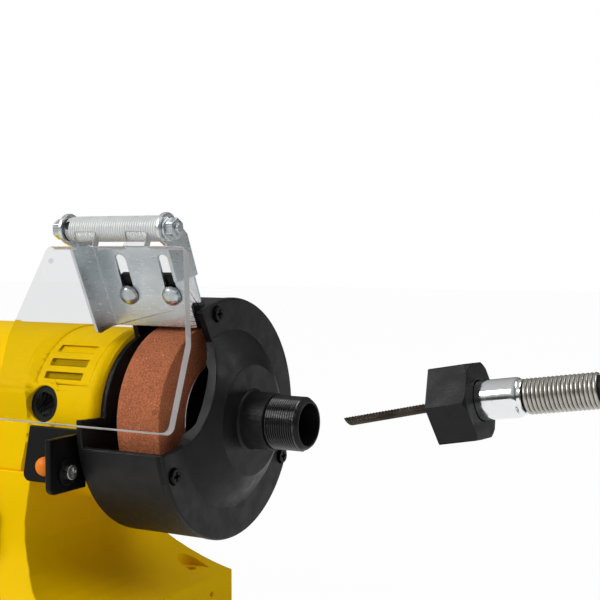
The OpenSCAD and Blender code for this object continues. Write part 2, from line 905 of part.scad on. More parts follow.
module guard_cover() {
    rim = guard_r + cover_lip;
    out = cover_face;
    color(black) difference() {
        turned([[cover_x, 31], [cover_x, rim], [out - 1.2, rim], [out - 0.4, rim - 0.3], [out, rim - 1],
            [out, dome_r + 0.8], [out + 0.7, dome_r], [out + dome_h * 0.22, dome_r - 1.6],
            [out + dome_h * 0.5, dome_r - 4.8], [out + dome_h * 0.76, dome_r - 8.3],
            [out + dome_h * 0.92, crest_r + 1.1], [crest_x, crest_r], [crest_x, 12.3], [crest_x + 0.4, 11.7],
            [crest_x + 1.2, 11.4], [thread_start, 11.3], [thread_start, thread_r],
            [nozzle_end - 3.4, thread_r], [nozzle_end - 3.2, thread_r - 0.3], [nozzle_end - 1.5, thread_r - 0.4],
            [nozzle_end, thread_r - 1.5], [nozzle_end, nozzle_bore_r], [crest_x - 3.9, nozzle_bore_r],
            [crest_x - 3.9, 19.4], [out + 1.5, 28.6]]);
        along_x(cover_x - 1) linear_extrude(cover_t + dome_h + 2) polygon([for (p = opening) yz(p)]);
        for (a = cover_screw_at)
            along_x(cover_x - 1) translate(yz(polar(a, cover_screw_ring))) {
                cylinder(h = 8, r = cover_screw_r + 0.1);
                translate([0, 0, 2.2]) cylinder(h = 8, r = 3.2);
            }
    }
}

module cover_screws() {
    color(black) for (a = cover_screw_at)
        along_x(cover_x + 1.2) translate(yz(polar(a, cover_screw_ring))) screw(cover_screw_r, 9, 2.9, 3.1);
}

module guard_screws() {
    color(steel) for (a = guard_screw_at)
        along_x(guard_x + guard_wall) translate(yz(polar(a, guard_screw_ring))) screw(1.5, 8, 2.8, 2);
}

// ---- work rest bracket ----

module rest_bracket() {
    foot = rest_top - rest_h;
    low = 3;
    color(black) difference() {
        union() {
            translate([rest_x - rest_t, 0, 0]) rotate([90, 0, 90]) linear_extrude(rest_t)
                polygon(concat([[wing_y + wing_t, foot], [wing_y + wing_t, rest_top], [wing_y - rest_arm, rest_top]],
                    [for (k = [0:4]) [wing_y - rest_arm + low * (1 - cos(k * 22.5)), foot + low * (1 - sin(k * 22.5))]]));
            translate([0, wing_y + wing_t, 0]) rotate([90, 0, 0]) linear_extrude(wing_t)
                polygon(concat([[rest_x - eps, foot], [rest_x - eps, rest_top + 1.2],
                    [rest_x - rest_wing + 3.6, rest_top + 1.2]],
                    arc([rest_x - rest_wing + low, foot + low], low, 180, 270)));
        }
        bar_y(knob_x, wing_y - 1, knob_z, 5, knob_stem_r + gap);
        translate([rest_x - rest_t - 1, rest_screw_y, rest_screw_z]) rotate([0, 90, 0])
            cylinder(h = 8, r = rest_screw_r + snug);
    }
}

module rest_washer() {
    color(black) translate([rest_x, rest_screw_y, rest_screw_z]) rotate([0, 90, 0]) difference() {
        cylinder(h = rest_washer_t, r = 5);
        translate([0, 0, -1]) cylinder(h = 4, r = rest_screw_r + snug);
    }
}

module rest_screw() {
    color(steel) translate([rest_x + rest_washer_t, rest_screw_y, rest_screw_z]) rotate([0, 90, 0])
        screw(rest_screw_r, 9, 2.8, 1.9);
}

module rest_nut() {
    color(steel) translate([rest_x - rest_t, rest_screw_y, rest_screw_z]) rotate([0, -90, 0]) difference() {
        hexagon(7, 3.2);
        translate([0, 0, -1]) cylinder(h = 6, r = rest_screw_r + snug);
    }
}

module rest_knob() {
    top = 4;
    color(orange) translate([knob_x, wing_y - gap, knob_z]) rotate([90, 0, 0]) {
        rotate_extrude() polygon(concat([[0, 0], [rest_knob_r, 0]],
            [for (k = [0:6]) [rest_knob_r * cos(k * 15), 1 + (top - 1) * sin(k * 15)]]));
        translate([0, 0, -14]) cylinder(h = 14 + eps, r = knob_stem_r);
    }
}

// ---- eye shield ----

// Frame of the bracket plate: Z runs up the plate, -Y is its front
module on_plate() {
    translate([0, plate_foot[0], axis_z + plate_foot[1]]) rotate([plate_lean, 0, 0]) children();
}

module at_hinge(x) {
    translate([x, hinge[0], axis_z + hinge[1]]) rotate([0, 90, 0]) children();
}

// Place on the bracket plate, as depth and height, of a place given as Y and Z from the axis
function to_plate(p) =
    let (d = p - plate_foot, c = cos(plate_lean), s = sin(plate_lean)) [d[0] * c + d[1] * s, d[1] * c - d[0] * s];

// Side plate of the bracket: its front edge below the hinge, up to the plate's back edge
module ear(x, edge) {
    pin = to_plate(hinge);
    color(zinc) on_plate() translate([x, 0, 0]) rotate([90, 0, 90]) linear_extrude(sheet_t) difference() {
        union() {
            polygon(concat([pin - [ear_r, 0]], edge, [[0, plate_len + 5], pin + polar(51, ear_r)]));
            translate(pin) circle(r = ear_r);
        }
        translate(pin) circle(r = hinge_bolt_r + snug);
    }
}

module shield_bracket() {
    right = plate_left + bracket_w;
    left = plate_left - eps;
    ear(plate_left - sheet_t, [[-13.3, 40], [-12.7, 2.5], [-11.3, 1.2], [0, 0]]);
    ear(right, [[-13.9, 40], [-13.8, 25.6], [-1.5, 22.6], [0, 22.5]]);
    color(zinc) difference() {
        on_plate() rotate([90, 0, 0]) linear_extrude(sheet_t) polygon([[left, 0], [right - notch[0], 0],
            [right - notch[0], notch[1] - 1.5], [right - notch[0] + 1.5, notch[1]], [right + eps, notch[1]],
            [right + eps, plate_len], [left, plate_len]]);
        on_plate() for (x = bracket_bolt_x) {
            for (up = slot_up)
                bar_y(x, -3, up, 5, slot_w / 2);
            translate([x - slot_w / 2, -3, slot_up[0]]) cube([slot_w, 5, slot_up[1] - slot_up[0]]);
        }
    }
}

module bracket_bolts() {
    color(steel) on_plate() for (x = bracket_bolt_x)
        translate([x, -sheet_t - gap, bracket_bolt_up]) rotate([90, 0, 0]) {
            rotate_extrude() polygon(concat([[0, 0], [4.1, 0]],
                [for (k = [0:5]) [4.1 * cos(k * 18), 0.4 + 2.4 * sin(k * 18)]]));
            translate([0, 0, -10]) cylinder(h = 10 + eps, r = bracket_bolt_r);
        }
}

module bracket_nuts() {
    color(steel) on_plate() for (x = bracket_bolt_x)
        translate([x, gap + lug_t, bracket_bolt_up]) rotate([-90, 0, 0]) difference() {
            hexagon(8, 3.6);
            translate([0, 0, -1]) cylinder(h = 8, r = bracket_bolt_r + snug);
        }
}

module hinge_bolt() {
    left = plate_left - sheet_t - 1.5;
    color(steel) {
        at_hinge(left - 3.3) hexagon(7, 3.3);
        at_hinge(left - eps) cylinder(h = plate_left + bracket_w + 7 - left, r = hinge_bolt_r);
    }
}

module hinge_washers() {
    color(steel) for (x = [plate_left - sheet_t - 1.5, plate_left + bracket_w + sheet_t])
        at_hinge(x) difference() {
            cylinder(h = x < plate_left ? 1.5 : 1, r = 4.5);
            translate([0, 0, -1]) cylinder(h = 4, r = hinge_bolt_r + snug);
        }
}

module hinge_nut() {
    color(steel) at_hinge(plate_left + bracket_w + sheet_t + 1) difference() {
        hexagon(7, 3.2);
        translate([0, 0, -1]) cylinder(h = 6, r = hinge_bolt_r + snug);
    }
}

// Arc that rounds an outline's corner at c, from angle a0 to a1
function arc(c, r, a0, a1) = [for (k = [0:5]) c + polar(a0 + (a1 - a0) * k / 5, r)];

module eye_shield() {
    top = shield_top_w / 2;
    low = shield_low_w / 2;
    kink = 36;
    side = low + 0.3;
    lean = atan2(side - top, kink);
    tube_gap = gap;
    color(clear) {
        translate([shield_mid, hinge[0], axis_z + hinge[1]]) rotate([-shield_tilt, 0, 0]) {
            translate([0, shield_back, shield_top]) rotate([90, 0, 0]) linear_extrude(shield_t)
                polygon(concat(
                    arc([top - 2.4, -2.4], 2.4, 90, lean), [[side, -kink]],
                    arc([low - 3, -shield_h + 3], 3, 0, -90), arc([-low + 3, -shield_h + 3], 3, -90, -180),
                    [[-side, -kink]], arc([-top + 2.4, -2.4], 2.4, 180 - lean, 90)));
            for (x = tab_x)
                translate([x - shield_mid, shield_back - shield_t, shield_top - 3])
                    cube([tab_w, shield_t, 3 - hinge_bolt_r - 0.6 - shield_top]);
        }
        at_hinge(plate_left + tube_gap) difference() {
            cylinder(h = bracket_w - 2 * tube_gap, r = hinge_tube_r);
            translate([0, 0, -1]) cylinder(h = bracket_w + 2, r = hinge_bolt_r + fit);
        }
    }
}

// ---- flexible shaft, lying loose beside the outlet ----

module on_flex(tilt = flex_tilt) {
    translate(flex_mouth) rotate([0, 90 - tilt, 0]) children();
}

// The ferrule hangs a little in the nut, so its axis crosses the nut's
module on_ferrule() {
    on_flex() translate([0, 0, ferrule_seat]) rotate([0, flex_tilt - ferrule_tilt, 0])
        translate([0, 0, -ferrule_seat]) children();
}

module flex_nut() {
    full = nut_flats / sqrt(3);
    color(black) on_flex() difference() {
        intersection() {
            rotate(30) hexagon(nut_flats, nut_len);
            rotate_extrude() polygon([[0, 0], [full + 1, 0], [full + 1, nut_len - 2.4],
                [nut_flats / 2 - 0.4, nut_len], [0, nut_len]]);
        }
        translate([0, 0, -1]) cylinder(h = collar[1] + nut_play + 1, r = thread_r + 0.15);
        cylinder(h = nut_len + 1, r = ferrule_r + 0.25);
    }
}

module flex_core() {
    color(steel) on_flex(core_tilt) difference() {
        translate([-core_side / 2, -core_side / 2, -core_out]) cube([core_side, core_side, core_out + core_in]);
        translate([0, 0, -core_out]) rotate([0, 35, 0]) translate([0, 0, -4])
            cube([12, 8, 6.2], center = true);
    }
}

module flex_ferrule() {
    color(steel) on_ferrule() difference() {
        union() {
            translate([0, 0, collar[0]]) cylinder(h = collar[1] - collar[0], r = thread_r - 0.4);
            translate([0, 0, collar[0]]) cylinder(h = ferrule_end - collar[0], r = ferrule_r);
        }
        translate([0, 0, collar[0] - 1]) cylinder(h = ferrule_end - collar[0] - 2, r = core_bore_r);
    }
}

module flex_spring() {
    color(steel) on_ferrule() translate([0, 0, ferrule_end]) difference() {
        cylinder(h = spring_end - ferrule_end, r = spring_r);
        translate([0, 0, -1]) cylinder(h = 40, r = sheath_r + 0.1);
    }
}

// Ring of points about one place of a route, square to the route there
function route_dir(p, i) =
    let (a = p[max(i - 1, 0)], b = p[min(i + 1, len(p) - 1)]) (b - a) / norm(b - a);
function route_ring(p, i, r, n) =
    let (d = route_dir(p, i), u = abs(d[1]) < 0.7 ? [0, 1, 0] : [1, 0, 0],
        v = cross(d, u) / norm(cross(d, u)), w = cross(v, d))
    [for (k = [0:n - 1]) p[i] + r * (cos(k * 360 / n) * w + sin(k * 360 / n) * v)];

// Round tube along a route
module tube(p, r, n = 12) {
    m = len(p);
    points = [for (i = [0:m - 1]) each route_ring(p, i, r, n)];
    sides = [for (i = [0:m - 2]) for (k = [0:n - 1])
        [i * n + k, i * n + (k + 1) % n, (i + 1) * n + (k + 1) % n, (i + 1) * n + k]];
    ends = [[for (k = [n - 1:-1:0]) k], [for (k = [0:n - 1]) (m - 1) * n + k]];
    polyhedron(points, concat(sides, ends));
}

module flex_sheath() {
    color(black) {
        tube(sheath_route, sheath_r);
        tube(tail_route, sheath_r);
    }
}

module flex_coil() {
    color(black) translate([coil_at[0], coil_at[1], 0]) rotate_extrude()
        translate([coil_turns[0] - sheath_r, 0]) square([coil_turns[1] - coil_turns[0] + 2 * sheath_r, 2 * sheath_r]);
}

// Axis of the handpiece, which lies across the coil and points along X
module on_handpiece(along) {
    translate(handpiece_at + [along, 0, 0]) rotate([0, 90, 0]) children();
}

module handpiece_grip() {
    color(black) on_handpiece(0) rotate_extrude() polygon([[0, 0], [7, 0], [8.5, 8], [grip_r - 0.6, 22], [grip_r, 30], [grip_r, 66],
            [grip_r - 1.2, 70], [grip_r - 1.2, 78], [grip_r - 2.5, grip_len], [0, grip_len]]);
}

module handpiece_nose() {
    color(steel) on_handpiece(grip_len) difference() {
        cylinder(h = nose_len, r1 = 8, r2 = 6.5);
        translate([0, 0, nose_len - 9]) cylinder(h = 10, r = 3 + fit);
    }
}

module handpiece_collet() {
    color(steel) on_handpiece(grip_len + nose_len + gap) difference() {
        union() {
            translate([0, 0, -8]) cylinder(h = 8 + eps, r = 3);
            cylinder(h = collet_len - 5, r = 6);
            translate([0, 0, collet_len - 5]) cylinder(h = 5, r1 = 6, r2 = 4);
        }
        translate([0, 0, 2]) cylinder(h = collet_len, r = 1.6);
    }
}

// ---- pieces ----
housing_top();
housing_base();
base_plate();
feet();
housing_screws();
cable_gland();
control_panel();
switch_body();
rocker();
speed_dial();
dial_pot();
control_board();
stator_core();
field_coils();
end_brackets();
bearings();
brush_holders();
brushes();
brush_springs();
brush_caps();
spindle();
armature_core();
armature_windings();
commutator();
fan();
inner_flange_right();
grinding_wheel();
blotters();
outer_flange_right();
spindle_nut_right();
inner_flange_left();
polishing_wheel();
outer_flange_left();
spindle_nut_left();
guard_drum();
guard_cover();
cover_screws();
guard_screws();
rest_bracket();
rest_screw();
rest_washer();
rest_nut();
rest_knob();
shield_bracket();
bracket_bolts();
bracket_nuts();
hinge_bolt();
hinge_nut();
hinge_washers();
eye_shield();
flex_nut();
flex_core();
flex_ferrule();
flex_spring();
flex_sheath();
flex_coil();
handpiece_grip();
handpiece_nose();
handpiece_collet();
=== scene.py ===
import json
import math

import bmesh
import bpy
from mathutils import Matrix, Vector


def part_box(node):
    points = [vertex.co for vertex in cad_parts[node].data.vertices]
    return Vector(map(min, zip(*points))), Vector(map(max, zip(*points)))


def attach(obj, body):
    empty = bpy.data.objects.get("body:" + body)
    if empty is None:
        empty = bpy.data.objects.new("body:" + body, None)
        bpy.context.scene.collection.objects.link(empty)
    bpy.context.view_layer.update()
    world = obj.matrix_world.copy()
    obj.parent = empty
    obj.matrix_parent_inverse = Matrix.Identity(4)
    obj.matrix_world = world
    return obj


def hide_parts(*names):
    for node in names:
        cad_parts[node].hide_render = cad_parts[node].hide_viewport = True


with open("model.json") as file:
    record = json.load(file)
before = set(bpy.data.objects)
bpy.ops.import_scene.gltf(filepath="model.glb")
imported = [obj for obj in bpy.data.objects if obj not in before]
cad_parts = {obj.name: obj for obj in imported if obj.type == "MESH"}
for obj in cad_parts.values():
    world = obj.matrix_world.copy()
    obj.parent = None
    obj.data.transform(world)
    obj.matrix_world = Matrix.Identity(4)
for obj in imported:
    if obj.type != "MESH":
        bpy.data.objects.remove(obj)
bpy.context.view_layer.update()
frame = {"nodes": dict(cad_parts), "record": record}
nodes = frame["nodes"]
record = frame["record"]
scene = bpy.context.scene
scene.view_settings.view_transform = "Standard"

MM = 0.001
AXIS = Vector((0, 0, 0.095))    # the spindle's axis runs through here along x
SLOT = {part["node"]: part["material_slot"] for part in record["subparts"]}
BODY = {node: body for body, names in record["behaviour"]["bodies"].items() for node in names}


# ---- camera ----

CAMERA_AT = (0.361, -0.4022, 0.163)
CAMERA_TURN = math.radians(29.25)       # to the right of the grinder's front
CAMERA_RISE = math.radians(2.5)         # above level


def make_camera():
    cam = bpy.data.objects.new("camera", bpy.data.cameras.new("camera"))
    scene.collection.objects.link(cam)
    back = Vector((math.sin(CAMERA_TURN) * math.cos(CAMERA_RISE),
                   -math.cos(CAMERA_TURN) * math.cos(CAMERA_RISE), math.sin(CAMERA_RISE)))
    cam.data.sensor_width = 36
    cam.data.lens = 72
    cam.data.clip_start = 0.01
    cam.location = CAMERA_AT
    cam.rotation_mode = "QUATERNION"
    cam.rotation_quaternion = (-back).to_track_quat("-Z", "Y")
    scene.camera = cam


make_camera()


# ---- materials ----

def socket(shader, name, value):
    """Sets a plain value on one of the shader's sockets."""
    shader.inputs[name].default_value = value


def start_material(name):
    mat = bpy.data.materials.new(name)
    mat.use_nodes = True
    tree = mat.node_tree
    shader = tree.nodes["Principled BSDF"]
    coords = tree.nodes.new("ShaderNodeTexCoord")
    return mat, tree, shader, coords.outputs["Object"]


def noise(tree, coords, scale, detail=4, stretch=(1, 1, 1), turn=(0, 0, 0)):
    """Noise in object space, stretched and turned by a mapping node."""
    place = tree.nodes.new("ShaderNodeMapping")
    place.inputs["Scale"].default_value = stretch
    place.inputs["Rotation"].default_value = turn
    tree.links.new(coords, place.inputs["Vector"])
    tex = tree.nodes.new("ShaderNodeTexNoise")
    tex.inputs["Scale"].default_value = scale
    tex.inputs["Detail"].default_value = detail
    tree.links.new(place.outputs["Vector"], tex.inputs["Vector"])
    return tex.outputs["Fac"]


def ramp(tree, value, low, high, start=0.35, stop=0.65):
    """Turns a value into a colour between two others."""
    node = tree.nodes.new("ShaderNodeValToRGB")
    node.color_ramp.elements[0].position = start
    node.color_ramp.elements[0].color = low
    node.color_ramp.elements[1].position = stop
    node.color_ramp.elements[1].color = high
    tree.links.new(value, node.inputs["Fac"])
    return node.outputs["Color"]


def bumps(tree, shader, layers):
    """Adds height layers, each (height, strength, distance in metres), to the shader's normal."""
    normal = None
    for height, strength, distance in layers:
        bump = tree.nodes.new("ShaderNodeBump")
        bump.inputs["Strength"].default_value = strength
        bump.inputs["Distance"].default_value = distance
        tree.links.new(height, bump.inputs["Height"])
        if normal is not None:
            tree.links.new(normal, bump.inputs["Normal"])
        normal = bump.outputs["Normal"]
    tree.links.new(normal, shader.inputs["Normal"])


def grey(value):
    return (value, value, value, 1)


def shade(colour, factor):
    return tuple(c * factor for c in colour[:3]) + (1,)


def moulded(name, colour, rough, grain=2200, grain_depth=0.25, change=0.07, specular=0.5):
    """Moulded plastic: spark-eroded grain, slow waviness and slightly uneven colour and gloss."""
    mat, tree, shader, coords = start_material(name)
    slow = noise(tree, coords, 30, 3)
    tree.links.new(ramp(tree, slow, shade(colour, 1 - change), shade(colour, 1 + change)),
                   shader.inputs["Base Color"])
    fine = noise(tree, coords, grain, 2)
    tree.links.new(ramp(tree, noise(tree, coords, 160, 4), grey(rough - 0.06), grey(rough + 0.08)),
                   shader.inputs["Roughness"])
    socket(shader, "Specular IOR Level", specular)
    bumps(tree, shader, [(fine, grain_depth, 0.00012), (slow, 0.12, 0.0012)])
    return mat


def metal(name, colour, rough, streak=(1, 1, 1), streak_scale=400, streak_depth=0.12, spots=0.1):
    """Bare or plated metal: drawn streaks, faint clouding and small scratches."""
    mat, tree, shader, coords = start_material(name)
    socket(shader, "Metallic", 1.0)
    cloud = noise(tree, coords, 90, 5)
    tree.links.new(ramp(tree, cloud, shade(colour, 1 - spots), shade(colour, 1 + spots * 0.5)),
                   shader.inputs["Base Color"])
    lines = noise(tree, coords, streak_scale, 3, streak)
    tree.links.new(ramp(tree, lines, grey(max(rough - 0.06, 0.02)), grey(rough + 0.1)),
                   shader.inputs["Roughness"])
    bumps(tree, shader, [(lines, streak_depth, 0.0001), (cloud, 0.06, 0.0006)])
    return mat


YELLOW = (0.95, 0.6, 0.0)
BLACK = (0.008, 0.008, 0.0085)

yellow_plastic = moulded("yellow_plastic", YELLOW, 0.5, grain=1300, grain_depth=0.4, change=0.04,
                         specular=0.03)
# The body's yellow at half strength: painted shade for the louvre floors
louvre_painted_shade = moulded("louvre_painted_shade", shade(YELLOW, 0.5), 0.7, specular=0.05)
black_plastic = moulded("black_plastic", BLACK, 0.45, grain=1500, grain_depth=0.5, specular=0.22)
thread_plastic = moulded("thread_plastic", BLACK, 0.22, grain_depth=0.05, specular=0.9)
black_metal = moulded("black_metal", (0.003, 0.003, 0.003), 0.4, grain=2600, grain_depth=0.25,
                      specular=0.14)
orange_plastic = moulded("orange_plastic", (0.85, 0.22, 0.005), 0.45, grain=900, grain_depth=0.6,
                         specular=0.3)
red_plastic = moulded("red_plastic", (0.55, 0.03, 0.02), 0.3)
rubber = moulded("rubber", (0.015, 0.015, 0.015), 0.7, grain=1200, specular=0.3)
board = moulded("board", (0.02, 0.2, 0.06), 0.4)
carbon = moulded("carbon", (0.04, 0.04, 0.04), 0.6)
paper = moulded("paper", (0.55, 0.5, 0.38), 0.8)
white_paint = moulded("white_paint", (0.8, 0.8, 0.78), 0.5)
zinc = metal("zinc", (0.66, 0.7, 0.72), 0.32, (1, 1, 8), 260)
steel = metal("steel", (0.6, 0.6, 0.6), 0.28)
spring_steel = metal("spring_steel", (0.5, 0.48, 0.44), 0.36)
chrome = metal("chrome", (0.82, 0.83, 0.84), 0.08, streak_depth=0.04, spots=0.03)
wire = metal("wire", (0.075, 0.062, 0.05), 0.5, streak_scale=1500, streak_depth=0.5, spots=0.35)
lamination = metal("lamination", (0.32, 0.33, 0.35), 0.45, (60, 1, 1), 60, 0.5)
copper = metal("copper", (0.75, 0.33, 0.14), 0.35, (40, 1, 1), 50, 0.5)


def make_abrasive():
    """Aluminium oxide grit in a fired bond, a little patchy."""
    mat, tree, shader, coords = start_material("abrasive")
    grit = noise(tree, coords, 1500, 3)
    patches = noise(tree, coords, 130, 4)
    body = ramp(tree, grit, (0.32, 0.085, 0.028, 1), (0.72, 0.23, 0.095, 1), 0.3, 0.7)
    mix = tree.nodes.new("ShaderNodeMix")
    mix.data_type = "RGBA"
    mix.blend_type = "MULTIPLY"
    mix.inputs["Factor"].default_value = 0.5
    tree.links.new(body, mix.inputs["A"])
    tree.links.new(ramp(tree, patches, grey(0.7), grey(1.0)), mix.inputs["B"])
    tree.links.new(mix.outputs["Result"], shader.inputs["Base Color"])
    socket(shader, "Roughness", 0.92)
    bumps(tree, shader, [(grit, 0.9, 0.0003), (patches, 0.3, 0.0006)])
    return mat


def make_felt():
    """Pressed wool with short loose fibres."""
    mat, tree, shader, coords = start_material("felt")
    fibres = noise(tree, coords, 900, 5, (1, 1, 3))
    tree.links.new(ramp(tree, fibres, (0.62, 0.58, 0.5, 1), (0.86, 0.83, 0.76, 1)),
                   shader.inputs["Base Color"])
    socket(shader, "Roughness", 1.0)
    socket(shader, "Sheen Weight", 0.4)
    bumps(tree, shader, [(fibres, 0.8, 0.0006)])
    return mat


def make_clear():
    """Polycarbonate sheet with faint haze and a few long scratches."""
    mat, tree, shader, coords = start_material("clear_plastic")
    socket(shader, "Base Color", (0.8, 0.805, 0.81, 1))
    socket(shader, "Transmission Weight", 1.0)
    socket(shader, "IOR", 1.012)
    scratches = noise(tree, coords, 70, 5, (1, 0.3, 14), (0.3, 0.2, 0.5))
    tree.links.new(ramp(tree, scratches, grey(0.01), grey(0.05), 0.5, 0.8),
                   shader.inputs["Roughness"])
    return mat


def make_sawn_edge_and_highlight():
    """The sawn and polished edge of the sheet, duller than its faces, and paler as a painted
    highlight of the light it catches through the sheet.
    """
    mat, tree, shader, coords = start_material("sawn_edge_and_highlight")
    marks = noise(tree, coords, 60, 2)
    tree.links.new(ramp(tree, marks, grey(0.6), grey(0.7)), shader.inputs["Base Color"])
    socket(shader, "Transmission Weight", 0.12)
    socket(shader, "IOR", 1.2)
    tree.links.new(ramp(tree, marks, grey(0.15), grey(0.35)), shader.inputs["Roughness"])
    return mat


def make_barrel_plastic():
    """The milky clear plastic of the ribbed hinge barrel."""
    mat, tree, shader, coords = start_material("barrel_plastic")
    cloud = noise(tree, coords, 120, 3)
    tree.links.new(ramp(tree, cloud, (0.68, 0.7, 0.69, 1), (0.76, 0.78, 0.77, 1)),
                   shader.inputs["Base Color"])
    tree.links.new(ramp(tree, cloud, grey(0.25), grey(0.34)), shader.inputs["Roughness"])
    return mat


abrasive = make_abrasive()
felt = make_felt()
clear_plastic = make_clear()
sawn_edge_and_highlight = make_sawn_edge_and_highlight()
barrel_plastic = make_barrel_plastic()

FINISH = {
    "yellow_plastic": yellow_plastic, "black_plastic": black_plastic, "black_metal": black_metal,
    "zinc": zinc, "steel": steel, "chrome": chrome, "abrasive": abrasive, "felt": felt,
    "paper": paper, "clear_plastic": clear_plastic, "orange_plastic": orange_plastic,
    "red_plastic": red_plastic, "lamination": lamination, "copper": copper, "carbon": carbon,
    "board": board, "rubber": rubber, "sheath_plastic": black_plastic,
}

for name, slot in SLOT.items():
    nodes[name].data.materials.clear()
    nodes[name].data.materials.append(FINISH[slot])


# ---- flexible shaft's sheath ----

# Places in millimetres, from the ferrule down to the coil, and from the coil to the handpiece
SHEATH_ROUTE = [
    (226.3, 0, 111), (239, 0, 112.8), (251.5, 0, 114.65), (256.5, 0, 115.4), (266.5, 0, 116.3),
    (276.5, 0.3, 115), (286, 1.2, 111.5), (294.5, 3, 106), (301, 6, 99), (305.5, 10.5, 90.5),
    (308, 16, 81), (309.5, 22.5, 67.5), (310.5, 28.5, 54), (312.5, 34, 41), (317, 38.5, 29.5),
    (325, 41.5, 19.5), (335, 42.7, 11.5), (346, 43, 7)]
TAIL_ROUTE = [
    (358, -76, 5.4), (343, -76, 5.4), (328, -76, 5.4), (312, -72.8, 5.7), (298.7, -63.8, 7),
    (289.7, -50.4, 9.4), (286.5, -34.5, 12.4), (289.7, -18.6, 15.4), (298.7, -5.2, 17.6),
    (312, 3.8, 19.8), (322, 6.6, 21), (328, 7, 21.4)]
COIL_AT = (358, -10)
COIL_RADII = (53, 66)
COIL_HEIGHT = 5.4
WIDENS = (180, 300)     # degrees round the coil between which it goes from one radius to the other
SHEATH_R = 5.2


def coil_route():
    """One and a half turns clockwise from the far side, the second turn outside the first."""
    points = []
    for angle in range(0, 540, 15):
        widen = min(max((angle - WIDENS[0]) / (WIDENS[1] - WIDENS[0]), 0), 1)
        r = COIL_RADII[0] + (COIL_RADII[1] - COIL_RADII[0]) * widen
        a = math.radians(angle)
        points.append((COIL_AT[0] + r * math.sin(a), COIL_AT[1] + r * math.cos(a), COIL_HEIGHT))
    return points


def make_sheath():
    """One round tube along the whole route, with its start and its length."""
    route = [Vector(p) * MM for p in SHEATH_ROUTE + coil_route() + TAIL_ROUTE]
    curve = bpy.data.curves.new("sheath", "CURVE")
    curve.dimensions = "3D"
    curve.bevel_depth = SHEATH_R * MM
    curve.bevel_resolution = 6
    curve.resolution_u = 8
    curve.use_fill_caps = True
    line = curve.splines.new("BEZIER")
    line.bezier_points.add(len(route) - 1)
    for point, place in zip(line.bezier_points, route):
        point.co = place
        point.handle_left_type = point.handle_right_type = "AUTO"
    sheath = bpy.data.objects.new("sheath", curve)
    scene.collection.objects.link(sheath)
    curve.materials.append(black_plastic)
    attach(sheath, "frame")
    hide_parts("flex_sheath", "flex_coil")
    length = sum((b - a).length for a, b in zip(route, route[1:]))
    return sheath, route[0], round(length, 3)


sheath, sheath_exit, sheath_length = make_sheath()


# ---- making pieces ----

WELD = 0.000002         # corners of a CAD mesh that are this close are one
SEAM = 0.0000005        # the same for the first and last step of a turned outline
FLAT = math.radians(0.4)
CUT_NEAR = 0.00001


def merged(name):
    """Working copy of a CAD node, with its loose triangles joined and flat faces whole."""
    bm = bmesh.new()
    bm.from_mesh(nodes[name].data)
    bmesh.ops.remove_doubles(bm, verts=bm.verts, dist=WELD)
    bmesh.ops.dissolve_limit(bm, angle_limit=FLAT, verts=bm.verts, edges=bm.edges)
    return bm


def close_holes(bm):
    bmesh.ops.holes_fill(bm, edges=[e for e in bm.edges if e.is_boundary], sides=0)


def cut(bm, point, normal, clear=False):
    """Cuts along a plane, and with clear takes away what lies past it."""
    bmesh.ops.bisect_plane(bm, geom=bm.verts[:] + bm.edges[:] + bm.faces[:], dist=CUT_NEAR,
                           plane_co=point, plane_no=normal, clear_outer=clear)
    if clear:
        close_holes(bm)


def round_edges(bm, width, segments=2, above=32, where=None):
    """Rounds the edges sharper than an angle."""
    edges = [e for e in bm.edges
             if len(e.link_faces) == 2 and e.calc_face_angle(0) > math.radians(above)
             and (where is None or where(e))]
    bmesh.ops.bevel(bm, geom=edges, offset=width * MM, segments=segments, profile=0.5,
                    affect="EDGES", material=-1, clamp_overlap=False)


def finish_piece(bm, name, body, materials, smooth=35):
    """Makes an object of a mesh, smooth up to an angle, that moves with a body."""
    bmesh.ops.recalc_face_normals(bm, faces=bm.faces)
    mesh = bpy.data.meshes.new(name)
    bm.to_mesh(mesh)
    bm.free()
    mesh.polygons.foreach_set("use_smooth", [True] * len(mesh.polygons))
    mesh.set_sharp_from_angle(angle=math.radians(smooth))
    for material in materials:
        mesh.materials.append(material)
    piece = bpy.data.objects.new(name, mesh)
    scene.collection.objects.link(piece)
    even = piece.modifiers.new("even_normals", "WEIGHTED_NORMAL")
    even.keep_sharp = True
    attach(piece, body)
    return piece


def dress(node, bm, materials=None, smooth=35, name=None):
    """Shows a finished mesh in place of one CAD node."""
    piece = finish_piece(bm, name or node + "_shown", BODY[node],
                         materials or [FINISH[SLOT[node]]], smooth)
    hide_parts(node)


def outline(profile, start, axis):
    """A closed outline of (along, radius) in millimetres, drawn beside an axis."""
    axis = Vector(axis).normalized()
    out = axis.orthogonal().normalized()
    bm = bmesh.new()
    verts = [bm.verts.new(Vector(start) + (axis * along + out * radius) * MM)
             for along, radius in profile]
    edges = [bm.edges.new(pair) for pair in zip(verts, verts[1:])]
    edges.append(bm.edges.new((verts[-1], verts[0])))
    return bm, verts, edges, axis


def turned(profile, start, axis, steps):
    """Turns an outline a full circle about an axis."""
    bm, verts, edges, axis = outline(profile, start, axis)
    bmesh.ops.spin(bm, geom=verts + edges, cent=start, axis=axis, angle=math.tau, steps=steps,
                   use_merge=True)
    bmesh.ops.remove_doubles(bm, verts=bm.verts, dist=SEAM)
    return bm


def helix(profile, start, axis, turns, pitch, steps):
    """Winds a closed outline along an axis: a thread's ridge or a spring's wire."""
    bm, verts, edges, axis = outline(profile, start, axis)
    bmesh.ops.spin(bm, geom=verts + edges, cent=start, axis=axis, dvec=axis * pitch * MM / steps,
                   angle=math.tau * turns, steps=round(turns * steps))
    close_holes(bm)
    return bm


def ridge_outline(root, crest, pitch, sunk=0.15):
    """One thread ridge, sunk a little into its cylinder."""
    return [(0, root - sunk), (pitch, root - sunk), (pitch * 0.96, root), (pitch * 0.56, crest),
            (pitch * 0.44, crest), (pitch * 0.04, root)]


